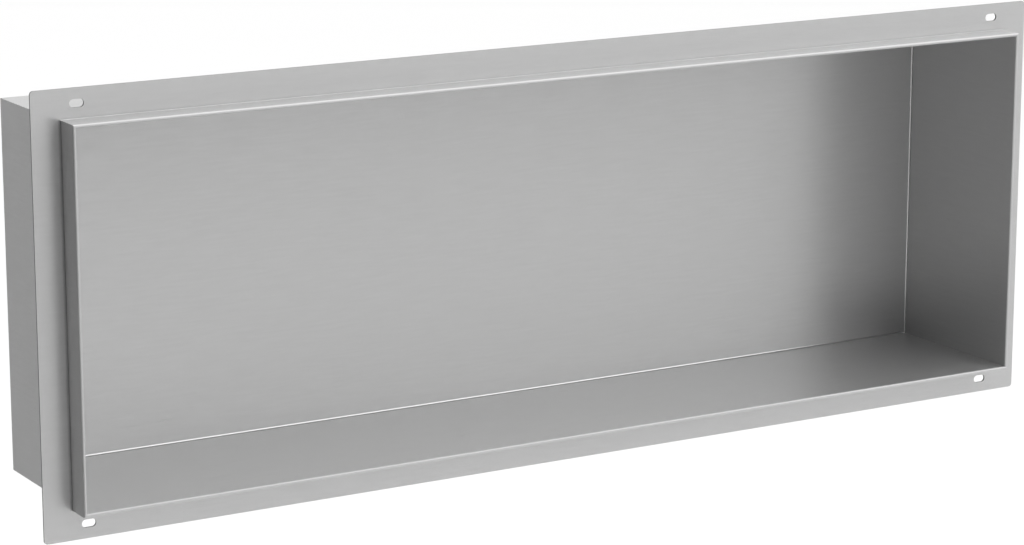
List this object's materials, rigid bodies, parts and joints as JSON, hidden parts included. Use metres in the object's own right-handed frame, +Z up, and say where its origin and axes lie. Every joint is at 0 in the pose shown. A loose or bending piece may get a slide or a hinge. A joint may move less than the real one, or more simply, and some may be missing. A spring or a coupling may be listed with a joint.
{
  "type": "shower niche insert",
  "caption": "Rectangular open-fronted recess tray folded from brushed steel sheet, with a hemmed collar and a slotted flange, set in a tiled shower wall to hold bottles.",
  "frame": {"origin": "centre of the four flange slots, in the plane of the flange's rear face, which seats on the wall", "axes": "+X to the right seen from the room, +Y into the wall, +Z up"},
  "size_m": [0.631, 0.1, 0.236],
  "materials": {
    "brushed_sheet": "brushed, with the grain along the niche"
  },
  "bodies": {
    "root": {"niche_body": "brushed_sheet"}
  },
  "joints": []
}
